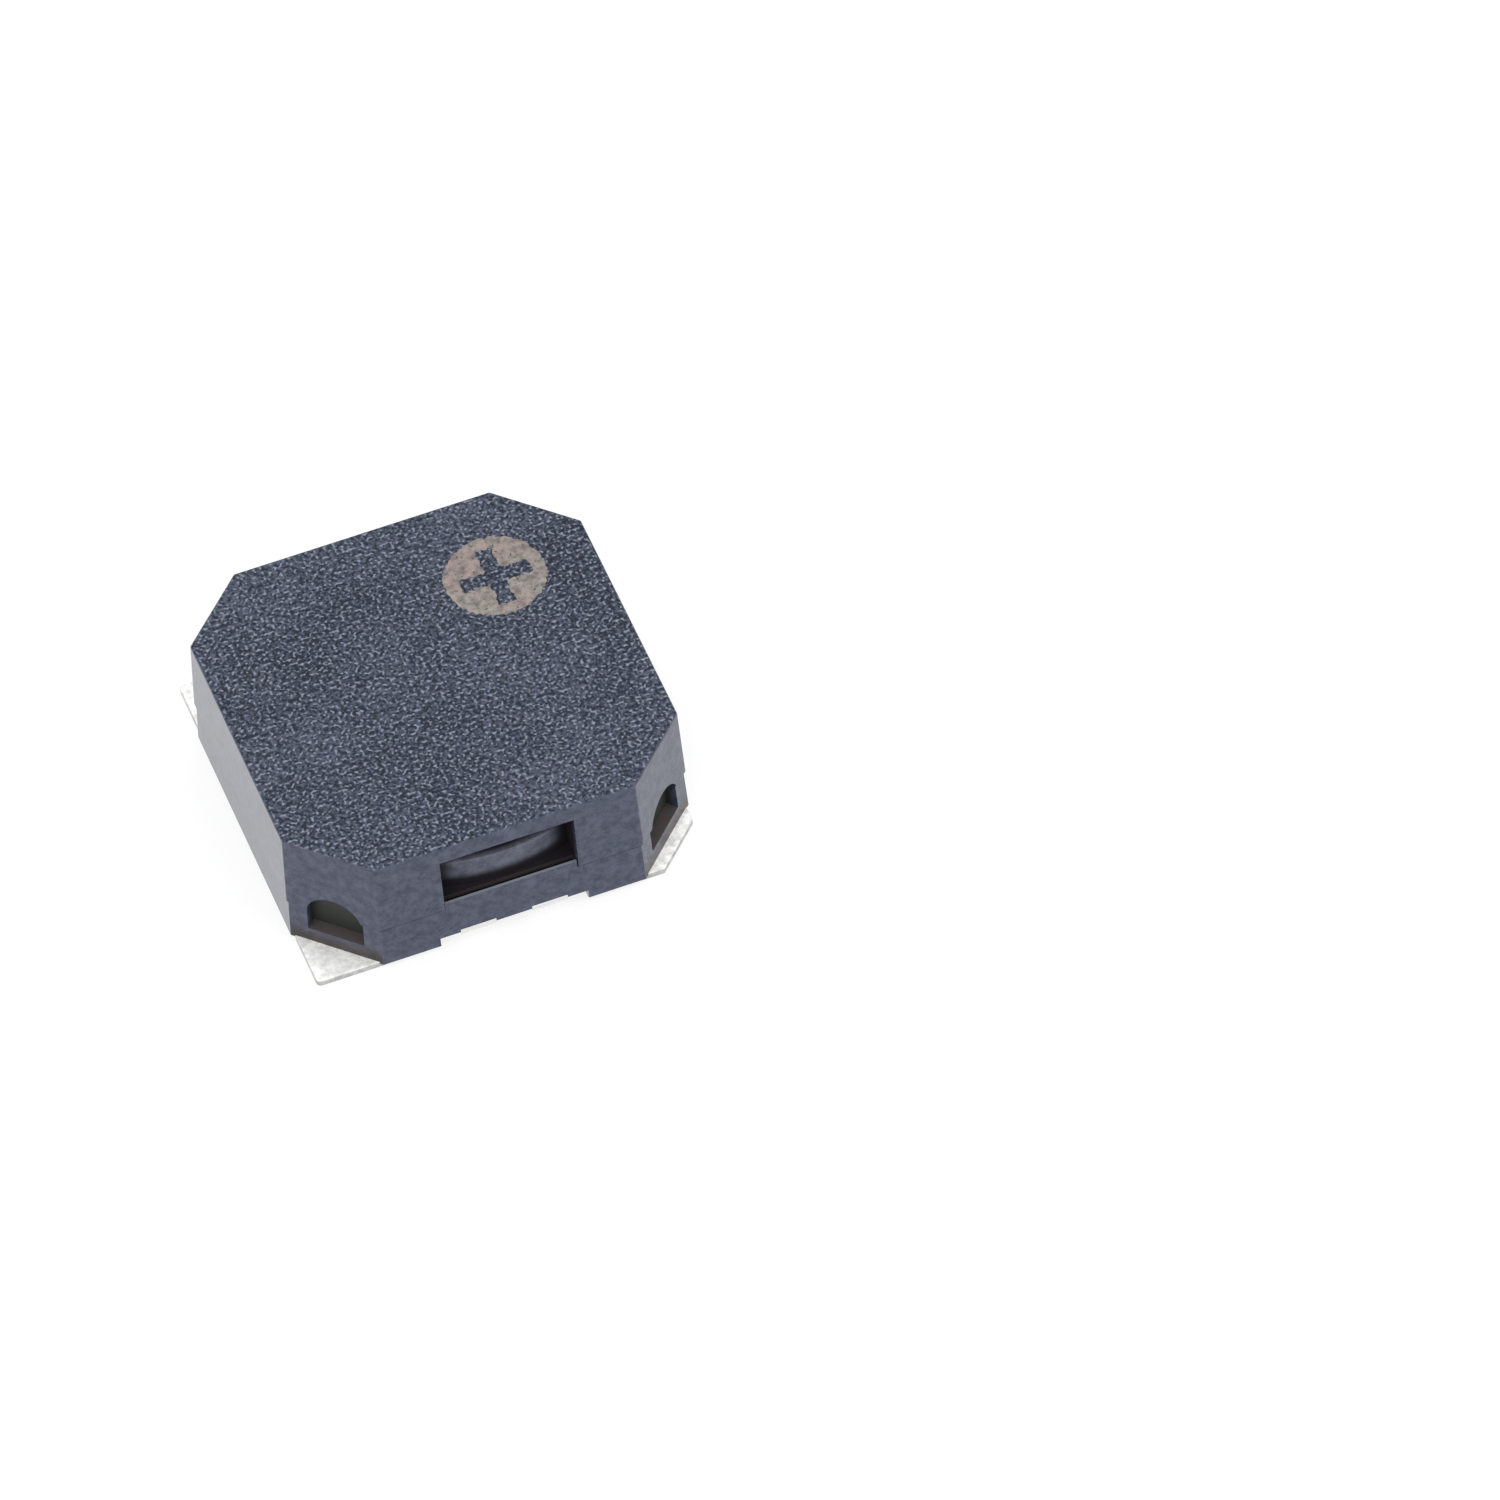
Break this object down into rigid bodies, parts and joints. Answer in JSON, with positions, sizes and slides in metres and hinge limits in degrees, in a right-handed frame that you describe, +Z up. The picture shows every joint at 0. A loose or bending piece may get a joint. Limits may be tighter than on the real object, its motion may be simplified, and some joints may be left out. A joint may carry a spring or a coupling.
{
  "type": "magnetic buzzer",
  "caption": "Square surface-mount magnetic buzzer with cut corners, a side sound slot and corner solder pads; a coil drives a steel diaphragm inside.",
  "frame": {"origin": "centre of the footprint on the seating plane of the solder pads", "axes": "+Z up through the cover, -Y out of the sound slot, the plus mark lies towards +X +Y"},
  "size_m": [0.0086, 0.0086, 0.003],
  "materials": {
    "cover_moulding": "speckled matt black glass-filled moulding",
    "base_moulding": "speckled matt black glass-filled moulding",
    "tinned_sheet": "mottled matt tin plating",
    "plated_steel": "bright plated steel",
    "core_iron": "turned soft iron",
    "magnet": "sintered ring magnet",
    "winding": "enamelled copper winding",
    "spring_steel": "rolled spring steel",
    "solder": "bright solder"
  },
  "bodies": {
    "root": {"upper_cover": "cover_moulding", "base_housing": "base_moulding", "yoke_plate": "plated_steel", "pole_core": "core_iron", "magnet_ring": "magnet", "drive_coil": "winding", "diaphragm": "spring_steel", "armature_disc": "core_iron", "terminal_positive": "tinned_sheet", "terminal_negative": "tinned_sheet", "support_terminal_front": "tinned_sheet", "support_terminal_back": "tinned_sheet", "solder_joint_positive": "solder", "solder_joint_negative": "solder"}
  },
  "joints": []
}
